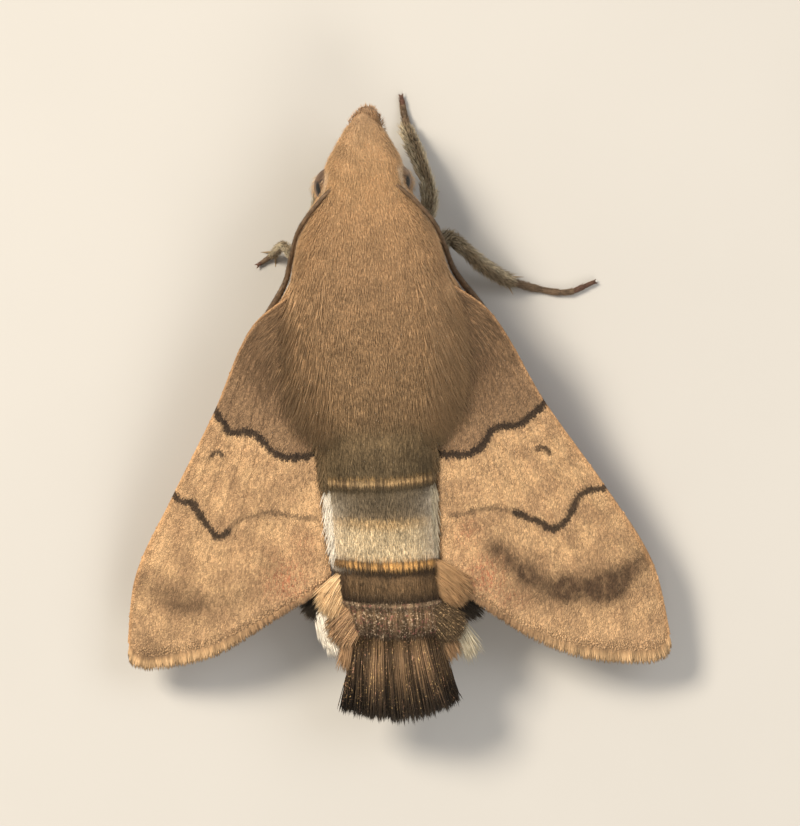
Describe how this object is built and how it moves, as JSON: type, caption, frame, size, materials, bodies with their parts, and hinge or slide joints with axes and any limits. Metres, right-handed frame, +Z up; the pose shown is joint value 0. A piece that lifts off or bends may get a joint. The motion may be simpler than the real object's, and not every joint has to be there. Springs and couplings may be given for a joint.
{
  "type": "hummingbird hawk-moth",
  "caption": "Day-flying moth at rest with swept-back brown wings, furry spindle body, side tufts and a broad tail fan; still model standing on its feet.",
  "frame": {"origin": "on the surface the feet stand on, below the middle of the bounding box", "axes": "+Y towards the head, +X to the moth's own right as seen from above, +Z up from the surface"},
  "size_m": [0.0274, 0.0316, 0.0084],
  "materials": {
    "body_fur": "short grey-brown hair-scales",
    "abdomen_fur": "banded grey, cream and dark brown scales with white and black side tufts",
    "tail_scales": "long dark brown hair-like scales",
    "forewing": "matt mottled brown scales with wavy black lines",
    "hindwing": "matt orange scales",
    "eye": "satin dark compound eye",
    "feeler": "matt dark brown",
    "leg": "grey-tan scales"
  },
  "bodies": {
    "root": {"head": "body_fur", "thorax": "body_fur", "abdomen_1": "abdomen_fur", "abdomen_2": "abdomen_fur", "abdomen_3": "abdomen_fur", "tail_fan": "tail_scales", "palp_left": "body_fur", "palp_right": "body_fur", "eye_left": "eye", "eye_right": "eye", "antenna_left": "feeler", "antenna_right": "feeler", "forewing_left": "forewing", "forewing_right": "forewing", "hindwing_left": "hindwing", "hindwing_right": "hindwing", "foreleg_left": "leg", "foreleg_right": "leg", "midleg_left": "leg", "midleg_right": "leg", "hindleg_left": "leg", "hindleg_right": "leg"}
  },
  "joints": []
}
